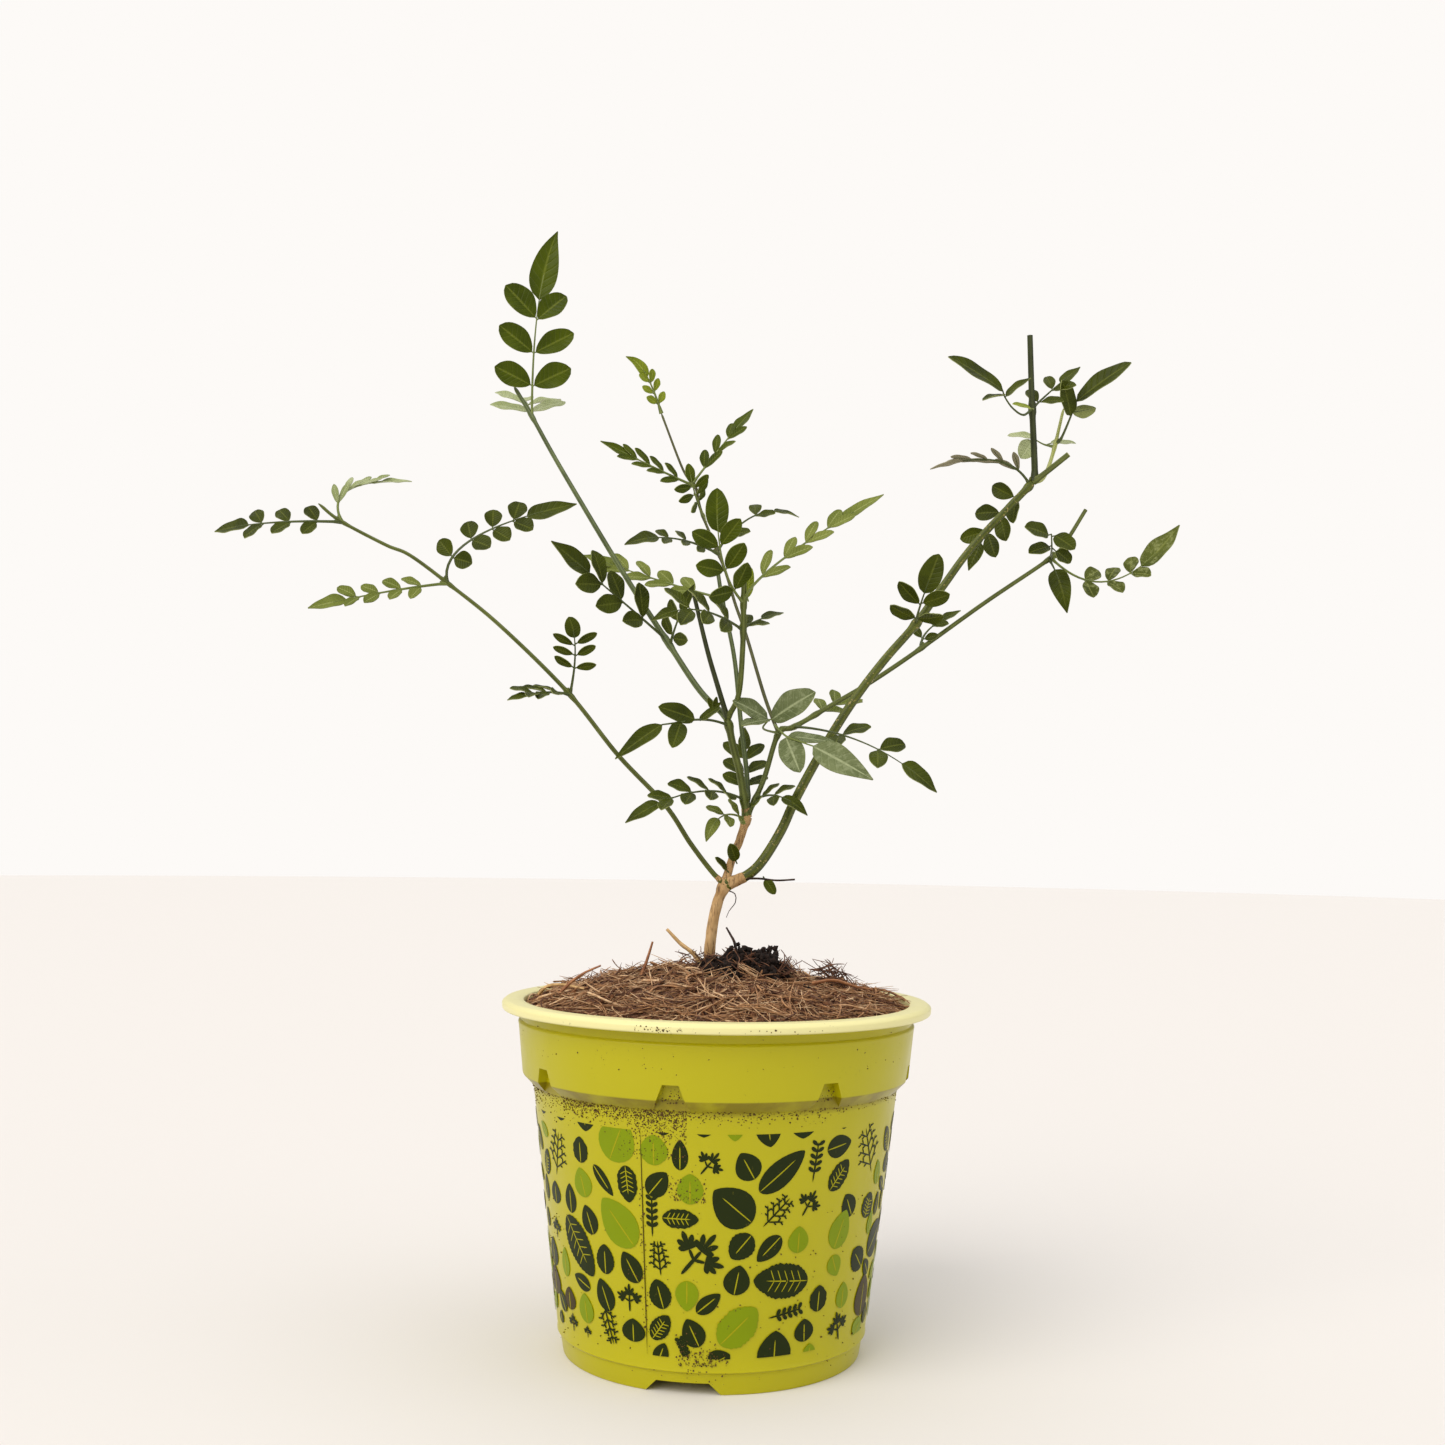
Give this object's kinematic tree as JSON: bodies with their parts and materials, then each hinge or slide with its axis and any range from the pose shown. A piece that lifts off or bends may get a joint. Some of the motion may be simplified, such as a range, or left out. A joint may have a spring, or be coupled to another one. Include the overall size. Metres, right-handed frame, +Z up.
{
  "type": "potted jasmine plant",
  "caption": "Young jasmine with green forking stems and divided leaves, growing from coir mulch in a tapered plastic nursery pot with a leaf print.",
  "frame": {"origin": "on the pot's axis, on the surface the pot stands on", "axes": "+Z up along the pot's axis; -Y towards the front, +X to the right as seen from the front"},
  "size_m": [0.3236, 0.14, 0.3833],
  "materials": {
    "lime_plastic": "moulded polypropylene, semi-gloss",
    "potting_soil": "matt, crumbly",
    "coir_fibre": "matt, fibrous",
    "dark_peat": "matt, crumbly",
    "young_bark": "matt, finely ridged",
    "green_stem": "satin, finely ridged",
    "jasmine_leaf": "satin above, paler and matt below"
  },
  "bodies": {
    "root": {"pot": "lime_plastic", "potting_soil": "potting_soil", "coir_mulch": "coir_fibre", "peat_clump": "dark_peat", "dry_twig": "young_bark", "trunk": "young_bark", "trunk_top": "young_bark", "right_branch": "green_stem", "left_branch": "green_stem", "right_upright": "green_stem", "right_stub": "green_stem", "right_pale_shoot": "green_stem", "centre_stem": "green_stem", "thin_right_branch": "green_stem", "back_stem": "green_stem", "tall_left_branch": "green_stem", "centre_upright": "green_stem", "centre_left_stub": "green_stem", "slender_shoot": "green_stem", "leaf_front_left": "jasmine_leaf", "leaf_fork_left": "jasmine_leaf", "leaf_fork_right": "jasmine_leaf", "leaf_fork_curl": "jasmine_leaf", "leaf_left_low_upper": "jasmine_leaf", "leaf_left_low_lower": "jasmine_leaf", "leaf_left_mid_upper": "jasmine_leaf", "leaf_left_mid_lower": "jasmine_leaf", "leaf_left_tip": "jasmine_leaf", "leaf_left_tip_arch": "jasmine_leaf", "leaf_centre_left": "jasmine_leaf", "leaf_centre_behind": "jasmine_leaf", "leaf_centre_back": "jasmine_leaf", "leaf_centre_low_left": "jasmine_leaf", "leaf_centre_low_right": "jasmine_leaf", "leaf_centre_face": "jasmine_leaf", "leaf_right_long": "jasmine_leaf", "leaf_upper_left": "jasmine_leaf", "leaf_upper_left_twin": "jasmine_leaf", "leaf_top_left_upright": "jasmine_leaf", "leaf_top_left_back": "jasmine_leaf", "leaf_spray_low_left": "jasmine_leaf", "leaf_spray_low_right": "jasmine_leaf", "leaf_spray_stack": "jasmine_leaf", "leaf_spray_left": "jasmine_leaf", "leaf_spray_right": "jasmine_leaf", "leaf_spray_tip": "jasmine_leaf", "leaf_front_big": "jasmine_leaf", "leaf_front_right": "jasmine_leaf", "leaf_right_low_pale": "jasmine_leaf", "leaf_right_mid_small": "jasmine_leaf", "leaf_right_mid_face": "jasmine_leaf", "leaf_right_far_inner": "jasmine_leaf", "leaf_right_far_outer": "jasmine_leaf", "leaf_right_far_down": "jasmine_leaf", "leaf_right_face": "jasmine_leaf", "leaf_right_grey": "jasmine_leaf", "leaf_top_right_arch": "jasmine_leaf", "leaf_top_right_inner": "jasmine_leaf", "leaf_top_right_outer": "jasmine_leaf", "leaf_top_right_pale": "jasmine_leaf"}
  },
  "joints": []
}
